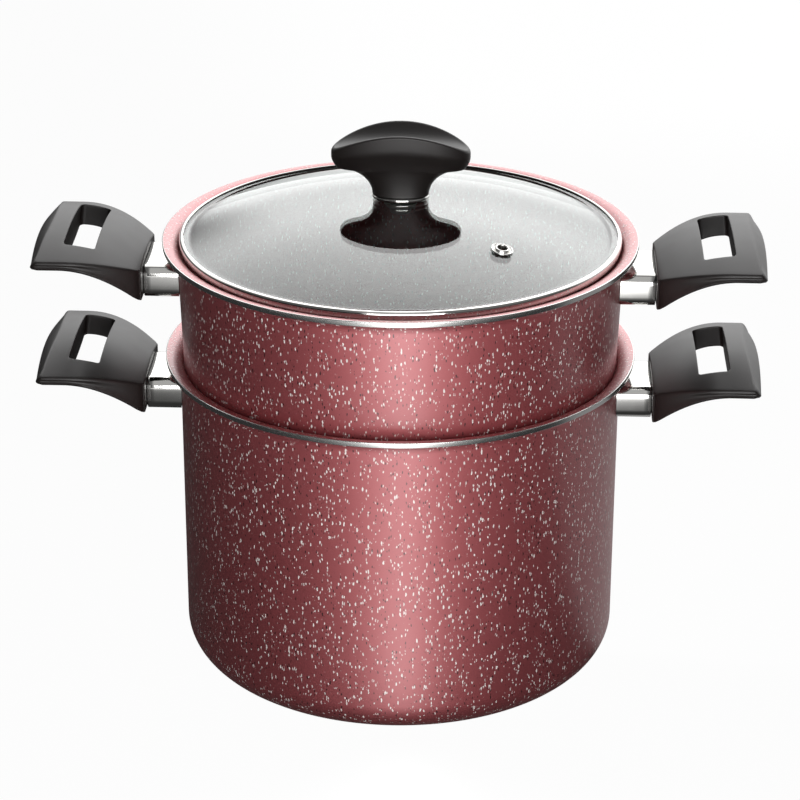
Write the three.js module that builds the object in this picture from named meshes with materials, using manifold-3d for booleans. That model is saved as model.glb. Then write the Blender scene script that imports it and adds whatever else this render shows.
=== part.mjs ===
// Couscoussier: a stockpot, a perforated steamer standing in its mouth, and a domed glass lid.
// Millimetres, +Z up. The origin is the centre of the pot's base, and the side handles lie along X.

import * as THREE from 'three';
import { mergeGeometries, mergeVertices, toCreasedNormals } from 'three/addons/utils/BufferGeometryUtils.js';
import Module from 'manifold-3d';

const wasm = await Module();
wasm.setup();

// Pressed shells
const POT_BORE = 240; // inside diameter of the pot, its nominal size
const SHEET = 3; // aluminium sheet of both shells
const POT_HEIGHT = 181;
const POT_CORNER = 20; // outer radius where the base turns up into the wall
const FLARE = 10; // inner radius of the rolled-out mouth
const LIP = 1; // bare edge past the flare
const STEAMER_RISE = 67; // steamer rim above the pot rim
const NEST_DEPTH = 33; // steamer base below the pot rim
const NEST_PLAY = 2.5; // radial play of the steamer's foot inside the pot
const SEAT_DEPTH = 5; // where the steamer's shoulder sits on the pot's flare, below the pot rim
const SHOULDER = 8; // height of the step from the foot out to the shoulder
const STEAMER_CORNER = 8; // outer radius at the steamer's base
const STEAM_HOLE = 6; // diameter of a steam hole
const STEAM_PITCH = 22; // ring spacing of the steam holes

// Side handles, measured from the sleeve's axis
const HANDLE_BELOW_RIM = 22.8; // sleeve axis below the rim
const GUARD_WIDTH = 46; // flame guard sleeve
const GUARD_HEIGHT = 18.6;
const GUARD_CORNER = 6;
const GUARD_SHEET = 0.8;
const GUARD_LENGTH = 17.8; // wall to handle root
const SPIGOT = 8; // tongue of the handle inside the sleeve
const HANDLE_LENGTH = 59; // root face to the middle of the outer end
const HANDLE_SWEEP = 42; // length over which the root blends into the grip
const ROOT_WIDTH = 60;
const ROOT_ABOVE = 9.4; // root's top edge above the axis
const ROOT_BELOW = 9.6; // root's underside below the axis
const ROOT_CROWN = 3.6; // height of the root's arched top over its edges
const ROOT_BEVEL = 1;
const GRIP_WIDTH = 100;
const GRIP_LIFT = 16.5; // lower edge of the grip above the axis
const GRIP_EDGE = 4.5; // thickness of the grip along its edge
const GRIP_CROWN = 8; // height of the arched top over the edges
const GRIP_BELLY = 5.7; // depth of the rounded underside under the edges
const GRIP_BULGE = 1.5; // bow of the outer end
const GRIP_NOSE = 7.5; // rounding of the outer end
const WINDOW_START = 24.6; // root face to the finger window
const WINDOW_LENGTH = 17;
const WINDOW_WIDTH = 65;
const WINDOW_CORNER = 2.5;
const WINDOW_TILT = THREE.MathUtils.degToRad(5.5);
const SCREW = 5; // shank diameter of a handle screw
const SCREW_HEAD = 9;
const SCREW_HEAD_HEIGHT = 3;
const SCREW_BITE = 8; // length of screw inside the stud
const SCREW_SEAT = 6.5; // root face to the seat of the screw head
const STUD = 10;
const STUD_LENGTH = 9;

// Lid
const LID_SINK = 3.9; // band's lower edge below the steamer rim
const BAND_SHEET = 0.6;
const BAND_LAP = 2.4; // width of the band's flanges over the glass
const GLASS = 4;
const GLASS_EDGE = 5; // flat ring of the glass inside the band
const GLASS_RISE = 20.4; // dome above the flat ring
const VENT_PLACE = 78.4; // lid centre to vent
const VENT_ANGLE = THREE.MathUtils.degToRad(-44.9);
const VENT_HOLE = 5.4;
const VENT_BARREL = 8;
const VENT_FLANGE = 12;
const VENT_SHEET = 0.8;
const VENT_RIM = 1; // height of the top flange's outer rim
const VENT_LIP = 0.8; // rolled lip round the hole, above that rim
const COLLAR_LENGTH = 31;
const COLLAR_WIDTH = 23;
const COLLAR_HEIGHT = 1.9;
const KNOB_HEIGHT = 36.8; // knob's foot to the middle of its top edge
const KNOB_LENGTH = 76;
const KNOB_WIDTH = 31;
const KNOB_NECK_LENGTH = 31;
const KNOB_NECK_WIDTH = 18;
const KNOB_WING = 15; // height of the wings' lower corners
const KNOB_WING_ROUND = 2.7; // how far those corners draw in
const KNOB_BAND = 9; // upright band under the middle of the top edge
const KNOB_ARCH = 11.6; // fall of the top edge from the middle to the ends
const KNOB_DISH = 7.5; // hollow of the top
const KNOB_PLAN = 2.3; // power of the plan's oval, a little squarer than an ellipse
const KNOB_SWELL = 2.2; // power of the hollow curve from the neck out to the band
const KNOB_BOLT = 6; // shank diameter
const KNOB_BOLT_HEAD = 12;
const KNOB_BOLT_HEAD_HEIGHT = 3.2;
const KNOB_BOLT_BITE = 9; // length of screw inside the insert
const INSERT = 11;
const INSERT_LENGTH = 12;
const GASKET = 18;
const GASKET_SHEET = 1.5;
const WASHER = 16;
const WASHER_SHEET = 1;

// Fits and facets
const FIT = 0.3; // clearance between neighbouring pieces
const SEGMENTS = 48; // facets around the shells and the lid
const SMALL_SEGMENTS = 16; // facets around the lid's small turned pieces
const SCREW_SEGMENTS = 10;
const CORNER_SEGMENTS = 2; // facets around the corner of a rounded rectangle
const HOLE_SEGMENTS = 8;
const CUT_PAST = 1; // how far a cutter runs past what it cuts
const WELD = 1e-4;
const CREASE = THREE.MathUtils.degToRad(35);

// Finishes
const COATING = { color: 0x8c3d46, roughness: 0.36, metalness: 0.45 };
const POLISHED_STEEL = { color: 0xc8c8c6, roughness: 0.15, metalness: 1 };
const ALUMINIUM = { color: 0xb4b4b2, roughness: 0.35, metalness: 1 };
const BAKELITE = { color: 0x1c1817, roughness: 0.45, metalness: 0 };
const CLEAR_GLASS = { color: 0xe2e8e5, roughness: 0.05, metalness: 0, transparent: true, opacity: 0.35 };
const BRASS = { color: 0xb8964e, roughness: 0.3, metalness: 1 };
const SILICONE = { color: 0xd8d5cf, roughness: 0.7, metalness: 0 };

// Places that follow from the sizes above
const quarter = Math.PI / 2;
const wallRadius = POT_BORE / 2 + SHEET;
const flareRadius = POT_BORE / 2 + FLARE;
const steamerRim = POT_HEIGHT + STEAMER_RISE;
const steamerBase = POT_HEIGHT - NEST_DEPTH;
const footRadius = POT_BORE / 2 - NEST_PLAY;
const shoulderTop = POT_HEIGHT - SEAT_DEPTH;
const shoulderRadius = flareInside(SEAT_DEPTH) - FIT;
const steamerTaper = (wallRadius - shoulderRadius) / (steamerRim - FLARE - shoulderTop);
const bandRadius = flareInside(LID_SINK) - FIT;
const bandHeight = GLASS + 2 * (BAND_SHEET + FIT);
const lidBase = steamerRim - LID_SINK;
const glassRadius = bandRadius - BAND_SHEET - FIT;
const domeRadius = glassRadius - GLASS_EDGE;
const glassEdgeTop = bandHeight - BAND_SHEET - FIT;

// Inside radius of a mouth at a depth below its rim.
function flareInside(depth) {
  const drop = FLARE - depth;
  return flareRadius - Math.sqrt(FLARE * FLARE - drop * drop);
}

// Height of the glass's upper face over the lid's base.
function glassTop(radius) {
  const share = radius / domeRadius;
  return glassEdgeTop + GLASS_RISE * (1 - share * share);
}

function point(x, y) {
  return new THREE.Vector2(x, y);
}

function arc(x, y, radius, from, to, steps) {
  const points = [];
  for (let i = 0; i <= steps; i += 1) {
    const angle = from + ((to - from) * i) / steps;
    points.push(point(x + radius * Math.cos(angle), y + radius * Math.sin(angle)));
  }
  return points;
}

// Turns a profile of (radius, height) points about Z.
function revolve(profile, segments) {
  return new THREE.LatheGeometry(profile, segments).rotateX(quarter);
}

// Turns a profile that closes on itself, for a ring or a bored piece.
function revolveRing(profile, segments) {
  return revolve([...profile, profile[0].clone()], segments);
}

// Turns a profile about X instead, for the studs and screws that point at the pot.
function alongX(geometry) {
  return geometry.rotateY(quarter);
}

function roundedRectangle(length, width, radius) {
  const x = length / 2 - radius;
  const y = width / 2 - radius;
  const shape = new THREE.Shape();
  shape.absarc(x, y, radius, 0, quarter);
  shape.absarc(-x, y, radius, quarter, 2 * quarter);
  shape.absarc(-x, -y, radius, 2 * quarter, 3 * quarter);
  shape.absarc(x, -y, radius, 3 * quarter, 4 * quarter);
  return shape;
}

function extrude(shape, depth, curveSegments) {
  return new THREE.ExtrudeGeometry(shape, { depth, curveSegments, bevelEnabled: false });
}

// Stands an extrusion drawn in XY on the YZ plane, so that it runs outwards along X.
function outwards(geometry) {
  const turn = new THREE.Matrix4().makeBasis(
    new THREE.Vector3(0, 1, 0),
    new THREE.Vector3(0, 0, 1),
    new THREE.Vector3(1, 0, 0),
  );
  return geometry.applyMatrix4(turn);
}

// Skins a row of closed rings, each with the same number of points, and caps both ends.
function loft(rings) {
  const count = rings[0].length;
  const corners = rings.flat();
  const index = [];
  for (let k = 0; k < rings.length - 1; k += 1) {
    for (let j = 0; j < count; j += 1) {
      const a = k * count + j;
      const b = k * count + ((j + 1) % count);
      index.push(a, b, a + count);
      index.push(b, b + count, a + count);
    }
  }
  const last = (rings.length - 1) * count;
  const first = corners.length;
  corners.push(middle(rings[0]), middle(rings.at(-1)));
  for (let j = 0; j < count; j += 1) {
    const next = (j + 1) % count;
    index.push(first, next, j);
    index.push(first + 1, last + j, last + next);
  }
  const geometry = new THREE.BufferGeometry().setFromPoints(corners);
  geometry.setIndex(index);
  return geometry;
}

function middle(ring) {
  const sum = ring.reduce((total, corner) => total.add(corner), new THREE.Vector3());
  return sum.divideScalar(ring.length);
}

// Joins and cuts work on closed solids with shared corners.
function solid(geometry) {
  const bare = geometry.clone();
  bare.deleteAttribute('normal');
  bare.deleteAttribute('uv');
  const welded = mergeVertices(bare, WELD);
  const vertProperties = new Float32Array(welded.attributes.position.array);
  const triVerts = new Uint32Array(welded.index.array);
  return new wasm.Manifold(new wasm.Mesh({ numProp: 3, vertProperties, triVerts }));
}

function surface(body) {
  const mesh = body.getMesh();
  const geometry = new THREE.BufferGeometry();
  geometry.setAttribute('position', new THREE.BufferAttribute(mesh.vertProperties, 3));
  geometry.setIndex(new THREE.BufferAttribute(mesh.triVerts, 1));
  return geometry;
}

function piece(name, geometry, finish) {
  const mesh = new THREE.Mesh(toCreasedNormals(geometry, CREASE), new THREE.MeshStandardMaterial(finish));
  mesh.name = name;
  return mesh;
}

// The rolled-out mouth that both shells share, from the outer wall over the lip to the inner wall.
function mouth(rim) {
  const steps = 3;
  return [
    ...arc(flareRadius, rim - FLARE, FLARE - SHEET, 2 * quarter, quarter, steps),
    point(flareRadius + LIP, rim - SHEET),
    point(flareRadius + LIP, rim),
    ...arc(flareRadius, rim - FLARE, FLARE, quarter, 2 * quarter, steps),
  ];
}

function potShell() {
  const steps = 4;
  const corner = wallRadius - POT_CORNER;
  const profile = [
    point(0, 0),
    ...arc(corner, POT_CORNER, POT_CORNER, -quarter, 0, steps),
    ...mouth(POT_HEIGHT),
    ...arc(corner, POT_CORNER, POT_CORNER - SHEET, 0, -quarter, steps),
    point(0, SHEET),
  ];
  return revolve(profile, SEGMENTS);
}

// The S-shaped step from the steamer's foot out to the shoulder that sits on the pot.
function shoulderStep(inset) {
  const steps = 3;
  const points = [];
  for (let i = 0; i <= steps; i += 1) {
    const share = i / steps;
    const radius = THREE.MathUtils.lerp(footRadius, shoulderRadius, THREE.MathUtils.smoothstep(share, 0, 1));
    points.push(point(radius - inset, shoulderTop - SHOULDER * (1 - share)));
  }
  return points;
}

// Steam holes in rings of six, twelve, eighteen and so on, over the flat of the base.
function steamHoles() {
  const flat = footRadius - STEAMER_CORNER - STEAM_HOLE;
  const rings = Math.floor(flat / STEAM_PITCH);
  const depth = SHEET + 2 * CUT_PAST;
  const holes = [];
  for (let ring = 0; ring <= rings; ring += 1) {
    const count = Math.max(1, 6 * ring);
    for (let i = 0; i < count; i += 1) {
      const angle = (4 * quarter * i) / count;
      const hole = new THREE.CylinderGeometry(STEAM_HOLE / 2, STEAM_HOLE / 2, depth, HOLE_SEGMENTS);
      hole.rotateX(quarter);
      hole.translate(ring * STEAM_PITCH * Math.cos(angle), ring * STEAM_PITCH * Math.sin(angle), SHEET / 2);
      holes.push(hole);
    }
  }
  return mergeGeometries(holes).translate(0, 0, steamerBase);
}

function steamerShell() {
  const steps = 3;
  const corner = footRadius - STEAMER_CORNER;
  const cornerHeight = steamerBase + STEAMER_CORNER;
  const profile = [
    point(0, steamerBase),
    ...arc(corner, cornerHeight, STEAMER_CORNER, -quarter, 0, steps),
    ...shoulderStep(0),
    ...mouth(steamerRim),
    ...shoulderStep(SHEET).reverse(),
    ...arc(corner, cornerHeight, STEAMER_CORNER - SHEET, 0, -quarter, steps),
    point(0, steamerBase + SHEET),
  ];
  return surface(solid(revolve(profile, SEGMENTS)).subtract(solid(steamHoles())));
}

// One ring of the handle: a flat-edged section with an arched top and a rounded belly.
function handleSection(place, halfWidth, low, high, crown, belly, bow) {
  const steps = 6;
  const ring = [];
  const corner = (share, height) => {
    const bowed = place + bow * (1 - share * share);
    ring.push(new THREE.Vector3(bowed, halfWidth * share, height));
  };
  for (let i = 0; i <= steps; i += 1) {
    const share = Math.cos((2 * quarter * i) / steps);
    corner(share, high + crown * (1 - share * share));
  }
  for (let i = 0; i <= steps; i += 1) {
    const share = -Math.cos((2 * quarter * i) / steps);
    corner(share, low - belly * (1 - share * share));
  }
  return ring;
}

// The handle's form at a distance from its root: the root eases into the grip, and the nose rounds off.
function handleRing(place, inset, nose) {
  const { lerp, clamp } = THREE.MathUtils;
  const left = 1 - clamp(place / HANDLE_SWEEP, 0, 1);
  const blend = 1 - left * left;
  const halfWidth = lerp(ROOT_WIDTH, GRIP_WIDTH, blend) / 2;
  const low = lerp(-ROOT_BELOW, GRIP_LIFT, blend);
  const high = lerp(ROOT_ABOVE, GRIP_LIFT + GRIP_EDGE, blend);
  const crown = lerp(ROOT_CROWN, GRIP_CROWN, blend);
  const belly = lerp(0, GRIP_BELLY, blend);
  const core = (low + high) / 2;
  const slim = Math.sqrt(Math.cos(nose));
  const bowStart = WINDOW_START + WINDOW_LENGTH;
  const bowShare = clamp((place - bowStart) / (HANDLE_LENGTH - GRIP_BULGE - bowStart), 0, 1);
  return handleSection(
    place,
    halfWidth - inset - GRIP_NOSE * (1 - Math.cos(nose)),
    lerp(core, low + inset, slim),
    lerp(core, high - inset, slim),
    crown * slim,
    belly * slim,
    GRIP_BULGE * bowShare,
  );
}

function handleBlank() {
  const sweepSteps = 6;
  const noseSteps = 3;
  const noseTurn = THREE.MathUtils.degToRad(84);
  const noseStart = HANDLE_LENGTH - GRIP_BULGE - GRIP_NOSE;
  const rings = [handleRing(0, ROOT_BEVEL, 0)];
  for (let i = 0; i < sweepSteps; i += 1) {
    rings.push(handleRing(ROOT_BEVEL + ((noseStart - ROOT_BEVEL) * i) / sweepSteps, 0, 0));
  }
  for (let i = 0; i <= noseSteps; i += 1) {
    const nose = (noseTurn * i) / noseSteps;
    rings.push(handleRing(noseStart + GRIP_NOSE * Math.sin(nose), 0, nose));
  }
  return loft(rings);
}

// The finger window goes square through the rising plate of the grip.
function windowCutter() {
  const reach = ROOT_BELOW + GRIP_LIFT + GRIP_EDGE + GRIP_CROWN + GRIP_BELLY;
  const outline = roundedRectangle(WINDOW_LENGTH, WINDOW_WIDTH, WINDOW_CORNER);
  const cutter = extrude(outline, 2 * reach, CORNER_SEGMENTS);
  cutter.translate(0, 0, -reach);
  cutter.rotateY(-WINDOW_TILT);
  return cutter.translate(WINDOW_START + WINDOW_LENGTH / 2, 0, GRIP_LIFT + GRIP_EDGE);
}

function spigot() {
  const inset = 2 * (GUARD_SHEET + FIT);
  const radius = GUARD_CORNER - GUARD_SHEET - FIT;
  const outline = roundedRectangle(GUARD_WIDTH - inset, GUARD_HEIGHT - inset, radius);
  return outwards(extrude(outline, SPIGOT + CUT_PAST, CORNER_SEGMENTS)).translate(-SPIGOT, 0, 0);
}

// The screw's hole through the spigot, and the wide bore for its head, open on the underside.
function screwBore() {
  const hole = SCREW / 2 + FIT;
  const wide = SCREW_HEAD / 2 + FIT;
  const profile = [
    point(0, -SPIGOT - CUT_PAST),
    point(hole, -SPIGOT - CUT_PAST),
    point(hole, SCREW_SEAT),
    point(wide, SCREW_SEAT),
    point(wide, HANDLE_SWEEP),
    point(0, HANDLE_SWEEP),
  ];
  return alongX(revolve(profile, SCREW_SEGMENTS));
}

function handleGrip() {
  const body = solid(handleBlank()).add(solid(spigot()));
  return surface(body.subtract(solid(windowCutter())).subtract(solid(screwBore())));
}

// A plug of the pot's own wall, grown by the fit, that shapes the inner end of sleeves and studs.
function wallPlug(radius, taper) {
  const reach = GUARD_HEIGHT;
  const profile = [
    point(0, -reach),
    point(radius + FIT - taper * reach, -reach),
    point(radius + FIT + taper * reach, reach),
    point(0, reach),
  ];
  return solid(revolve(profile, SEGMENTS));
}

function flameGuard(radius, plug) {
  const outline = roundedRectangle(GUARD_WIDTH, GUARD_HEIGHT, GUARD_CORNER);
  const inside = 2 * GUARD_SHEET;
  const bore = roundedRectangle(GUARD_WIDTH - inside, GUARD_HEIGHT - inside, GUARD_CORNER - GUARD_SHEET);
  outline.holes.push(bore);
  const length = GUARD_LENGTH - FIT + GUARD_WIDTH / 2;
  const sleeve = outwards(extrude(outline, length, CORNER_SEGMENTS));
  sleeve.translate(radius - GUARD_WIDTH / 2, 0, 0);
  return surface(solid(sleeve).subtract(plug));
}

function weldStud(radius, plug) {
  const bore = SCREW / 2 + FIT;
  const start = radius - STUD;
  const end = radius + STUD_LENGTH;
  const profile = [point(bore, start), point(STUD / 2, start), point(STUD / 2, end), point(bore, end)];
  return surface(solid(alongX(revolveRing(profile, SCREW_SEGMENTS))).subtract(plug));
}

// A pan-head screw on Z, its head's seat at zero and its shank below.
function panHeadScrew(shank, length, head, headHeight, segments) {
  const crown = headHeight / 2;
  const profile = [
    point(0, -length),
    point(shank / 2, -length),
    point(shank / 2, 0),
    point(head / 2, 0),
    point(head / 2, headHeight - crown),
    point(head / 2 - crown / 2, headHeight - crown / 4),
    point(head / 2 - crown, headHeight),
    point(0, headHeight),
  ];
  return revolve(profile, segments);
}

function handleScrew(radius) {
  const seat = radius + GUARD_LENGTH + SCREW_SEAT + FIT;
  const length = seat - (radius + STUD_LENGTH) + SCREW_BITE;
  const screw = panHeadScrew(SCREW, length, SCREW_HEAD, SCREW_HEAD_HEIGHT, SCREW_SEGMENTS);
  return alongX(screw).translate(seat, 0, 0);
}

// Both side handles of one shell, with the sleeve, stud and screw that hold each one.
function sideHandles(owner, rim, radius, taper) {
  const plug = wallPlug(radius, taper);
  const both = new THREE.Group();
  for (const [side, turn] of [['right', 0], ['left', Math.PI]]) {
    const grip = piece(`${owner}_handle_${side}`, handleGrip(), BAKELITE);
    grip.position.x = radius + GUARD_LENGTH;
    const group = new THREE.Group();
    group.add(
      grip,
      piece(`${owner}_flame_guard_${side}`, flameGuard(radius, plug), POLISHED_STEEL),
      piece(`${owner}_weld_stud_${side}`, weldStud(radius, plug), ALUMINIUM),
      piece(`${owner}_handle_screw_${side}`, handleScrew(radius), POLISHED_STEEL),
    );
    group.rotation.z = turn;
    both.add(group);
  }
  both.position.z = rim - HANDLE_BELOW_RIM;
  return both;
}

// The steel channel crimped over the edge of the glass.
function lidBand() {
  const bend = 1.5 * BAND_SHEET;
  const steps = 2;
  const low = bend;
  const high = bandHeight - bend;
  const inner = bandRadius - BAND_LAP;
  const profile = [
    point(inner, 0),
    ...arc(bandRadius - bend, low, bend, -quarter, 0, steps),
    ...arc(bandRadius - bend, high, bend, 0, quarter, steps),
    point(inner, bandHeight),
    point(inner, bandHeight - BAND_SHEET),
    point(bandRadius - BAND_SHEET, bandHeight - BAND_SHEET),
    point(bandRadius - BAND_SHEET, BAND_SHEET),
    point(inner, BAND_SHEET),
  ];
  return revolveRing(profile, SEGMENTS);
}

// Where the vent stands on the dome, square to the glass.
function ventFrame() {
  const slope = (2 * GLASS_RISE * VENT_PLACE) / (domeRadius * domeRadius);
  const frame = new THREE.Group();
  const lean = new THREE.Group();
  frame.rotation.z = VENT_ANGLE;
  lean.position.set(VENT_PLACE, 0, glassTop(VENT_PLACE));
  lean.rotation.y = Math.atan(slope);
  frame.add(lean);
  frame.updateMatrixWorld(true);
  return { frame, lean };
}

function lidGlass() {
  const steps = 4;
  const hole = KNOB_BOLT / 2 + FIT;
  const upper = [];
  for (let i = 0; i <= steps; i += 1) {
    const radius = THREE.MathUtils.lerp(domeRadius, hole, i / steps);
    upper.push(point(radius, glassTop(radius)));
  }
  const lower = upper.map((corner) => point(corner.x, corner.y - GLASS)).reverse();
  const edge = [point(glassRadius, glassEdgeTop - GLASS), point(glassRadius, glassEdgeTop)];
  const pane = solid(revolveRing([...lower, ...edge, ...upper], SEGMENTS));
  const barrel = VENT_BARREL / 2 + FIT;
  const drill = new THREE.CylinderGeometry(barrel, barrel, 4 * GLASS, SMALL_SEGMENTS).rotateX(quarter);
  drill.applyMatrix4(ventFrame().lean.matrixWorld);
  return surface(pane.subtract(solid(drill)));
}

// A flanged eyelet with a groove and a rolled lip, its upper flange on the glass at zero.
function ventEyelet() {
  const hole = VENT_HOLE / 2;
  const barrel = VENT_BARREL / 2;
  const flange = VENT_FLANGE / 2;
  const under = -GLASS - FIT;
  const top = FIT + VENT_RIM;
  const lip = (hole + barrel) / 2;
  const profile = [
    point(hole, under - VENT_SHEET),
    point(flange - VENT_SHEET, under - VENT_SHEET),
    point(flange - VENT_SHEET, under),
    point(barrel, under),
    point(barrel, FIT),
    point(flange, FIT),
    point(flange, top),
    point(flange - VENT_SHEET, top),
    point(barrel + VENT_SHEET / 2, top - VENT_SHEET),
    point(lip, top + VENT_LIP),
    point(hole, top),
  ];
  return revolveRing(profile, SMALL_SEGMENTS);
}

function knobCollar() {
  const outline = new THREE.Shape();
  outline.absellipse(0, 0, COLLAR_LENGTH / 2, COLLAR_WIDTH / 2, 0, 4 * quarter);
  const bore = new THREE.Path();
  bore.absarc(0, 0, KNOB_BOLT / 2 + FIT, 0, 4 * quarter);
  outline.holes.push(bore);
  return extrude(outline, COLLAR_HEIGHT, SMALL_SEGMENTS / 2);
}

// An oval ring of the knob. Its height comes from a function of its place along the wings.
function knobRing(halfLength, halfWidth, heightAt) {
  const count = 24;
  const squared = (share) => Math.sign(share) * Math.abs(share) ** (2 / KNOB_PLAN);
  const ring = [];
  for (let i = 0; i < count; i += 1) {
    const angle = (4 * quarter * i) / count;
    const x = halfLength * squared(Math.cos(angle));
    const y = halfWidth * squared(Math.sin(angle));
    ring.push(new THREE.Vector3(x, y, heightAt(x)));
  }
  return ring;
}

// The neck flares into wings, the wings rise to an upright band under an arched edge, and the top is dished.
function knobBlank() {
  const { lerp } = THREE.MathUtils;
  const neckSteps = 5;
  const wallSteps = 3;
  const dishSteps = 2;
  const length = KNOB_LENGTH / 2;
  const width = KNOB_WIDTH / 2;
  const bandFoot = KNOB_HEIGHT - KNOB_BAND;
  const topEdge = (x) => KNOB_HEIGHT - KNOB_ARCH * (x / length) ** 2;
  const widthAt = (height) => {
    const swell = Math.min(1, height / bandFoot) ** KNOB_SWELL;
    return lerp(KNOB_NECK_WIDTH / 2, width, swell);
  };
  const rings = [];
  for (let i = 0; i <= neckSteps; i += 1) {
    const turn = (quarter * i) / neckSteps;
    const height = KNOB_WING * Math.sin(turn);
    const halfLength = lerp(KNOB_NECK_LENGTH / 2, length - KNOB_WING_ROUND, 1 - Math.cos(turn));
    rings.push(knobRing(halfLength, widthAt(height), () => height));
  }
  for (let i = 1; i <= wallSteps; i += 1) {
    const share = i / wallSteps;
    const halfWidth = widthAt(lerp(KNOB_WING, KNOB_HEIGHT, share));
    rings.push(knobRing(length, halfWidth, (x) => lerp(KNOB_WING, topEdge(x), share)));
  }
  for (let i = 1; i <= dishSteps; i += 1) {
    const share = 1 - i / (dishSteps + 1);
    const sink = KNOB_DISH * (1 - share * share);
    rings.push(knobRing(length * share, width * share, (x) => topEdge(x) - sink));
  }
  return loft(rings);
}

function lidKnob() {
  const radius = INSERT / 2 + FIT;
  const depth = INSERT_LENGTH + FIT + CUT_PAST;
  const pocket = new THREE.CylinderGeometry(radius, radius, depth, SMALL_SEGMENTS).rotateX(quarter);
  pocket.translate(0, 0, depth / 2 - CUT_PAST);
  return surface(solid(knobBlank()).subtract(solid(pocket)));
}

// A flat or tall ring standing on zero.
function ring(outer, inner, height) {
  const profile = [point(inner, 0), point(outer, 0), point(outer, height), point(inner, height)];
  return revolveRing(profile, SMALL_SEGMENTS);
}

// The knob's parts are stacked on the lid's axis, up and down from the glass.
function knobStack() {
  const hole = KNOB_BOLT / 2 + FIT;
  const crest = glassTop(hole);
  const collarFoot = crest + FIT;
  const knobFoot = collarFoot + COLLAR_HEIGHT + FIT;
  const gasketFoot = crest - GLASS - FIT - GASKET_SHEET;
  const washerFoot = gasketFoot - FIT - WASHER_SHEET;
  const boltSeat = washerFoot - FIT;
  const boltLength = knobFoot + KNOB_BOLT_BITE - boltSeat;
  const bolt = panHeadScrew(KNOB_BOLT, boltLength, KNOB_BOLT_HEAD, KNOB_BOLT_HEAD_HEIGHT, SMALL_SEGMENTS);
  const stack = new THREE.Group();
  const place = (name, geometry, finish, height) => {
    stack.add(piece(name, geometry.translate(0, 0, height), finish));
  };
  place('knob_collar', knobCollar(), POLISHED_STEEL, collarFoot);
  place('lid_knob', lidKnob(), BAKELITE, knobFoot);
  place('knob_insert', ring(INSERT / 2, hole, INSERT_LENGTH), BRASS, knobFoot);
  place('knob_gasket', ring(GASKET / 2, hole, GASKET_SHEET), SILICONE, gasketFoot);
  place('knob_washer', ring(WASHER / 2, hole, WASHER_SHEET), POLISHED_STEEL, washerFoot);
  place('knob_screw', bolt.rotateX(2 * quarter), POLISHED_STEEL, boltSeat);
  return stack;
}

function potAssembly() {
  const pot = new THREE.Group();
  pot.add(piece('pot_shell', potShell(), COATING));
  pot.add(sideHandles('pot', POT_HEIGHT, wallRadius, 0));
  return pot;
}

function steamerAssembly() {
  const radius = wallRadius - steamerTaper * (HANDLE_BELOW_RIM - FLARE);
  const steamer = new THREE.Group();
  steamer.add(piece('steamer_shell', steamerShell(), COATING));
  steamer.add(sideHandles('steamer', steamerRim, radius, steamerTaper));
  return steamer;
}

function lidAssembly() {
  const lid = new THREE.Group();
  const { frame, lean } = ventFrame();
  lean.add(piece('vent_eyelet', ventEyelet(), POLISHED_STEEL));
  lid.add(
    piece('lid_glass', lidGlass(), CLEAR_GLASS),
    piece('lid_band', lidBand(), POLISHED_STEEL),
    frame,
    knobStack(),
  );
  lid.position.z = lidBase;
  return lid;
}

const couscoussier = new THREE.Group();
couscoussier.add(potAssembly(), steamerAssembly(), lidAssembly());

export default couscoussier;
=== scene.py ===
"""Looks of a couscoussier: a speckled pot and steamer, bakelite handles and a domed glass lid.

Metres, +Z up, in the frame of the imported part. The camera looks at the front, along +Y.
"""

from math import atan, atan2, copysign, cos, hypot, pi, radians, sin, sqrt, tan

import bpy
from mathutils import Matrix, Vector
from mathutils.geometry import delaunay_2d_cdt


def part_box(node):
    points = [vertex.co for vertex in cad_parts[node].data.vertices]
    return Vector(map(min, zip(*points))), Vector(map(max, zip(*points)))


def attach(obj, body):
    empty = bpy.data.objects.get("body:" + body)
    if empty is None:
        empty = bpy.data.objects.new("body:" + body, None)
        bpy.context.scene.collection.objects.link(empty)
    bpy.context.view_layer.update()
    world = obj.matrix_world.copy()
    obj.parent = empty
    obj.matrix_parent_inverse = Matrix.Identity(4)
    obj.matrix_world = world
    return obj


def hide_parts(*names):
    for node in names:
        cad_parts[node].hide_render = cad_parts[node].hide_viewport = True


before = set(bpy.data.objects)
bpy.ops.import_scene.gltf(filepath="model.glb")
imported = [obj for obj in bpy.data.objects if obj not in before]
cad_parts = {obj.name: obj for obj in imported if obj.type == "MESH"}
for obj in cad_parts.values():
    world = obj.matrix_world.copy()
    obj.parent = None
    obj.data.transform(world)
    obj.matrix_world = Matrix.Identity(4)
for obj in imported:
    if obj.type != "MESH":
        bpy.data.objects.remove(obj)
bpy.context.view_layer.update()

MM = 0.001

# Pressed shells
SHEET = 3.0 * MM
LIP = 1.0 * MM  # bare edge past the flare
LIP_ROUND = 0.5 * MM
FLARE = 10.0 * MM  # inner radius of the rolled-out mouth
POT_CORNER = 20.0 * MM
BASE_TURNED = 96.0 * MM  # radius of the bare face turned on the pot's underside
NEST_PLAY = 2.5 * MM
SEAT_DEPTH = 5.0 * MM  # steamer's shoulder below the pot's rim
SEAT_GAP = 0.3 * MM
SHOULDER = 8.0 * MM
STEAMER_CORNER = 8.0 * MM
STEAM_HOLE = 3.0 * MM  # radius
STEAM_PITCH = 22.0 * MM
STEAM_EDGE = 0.5 * MM  # rounding of a hole's edge under the coating
ROUND_MIDDLE = 0.3  # share of its radius by which a rounding's middle stands off each face

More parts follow.
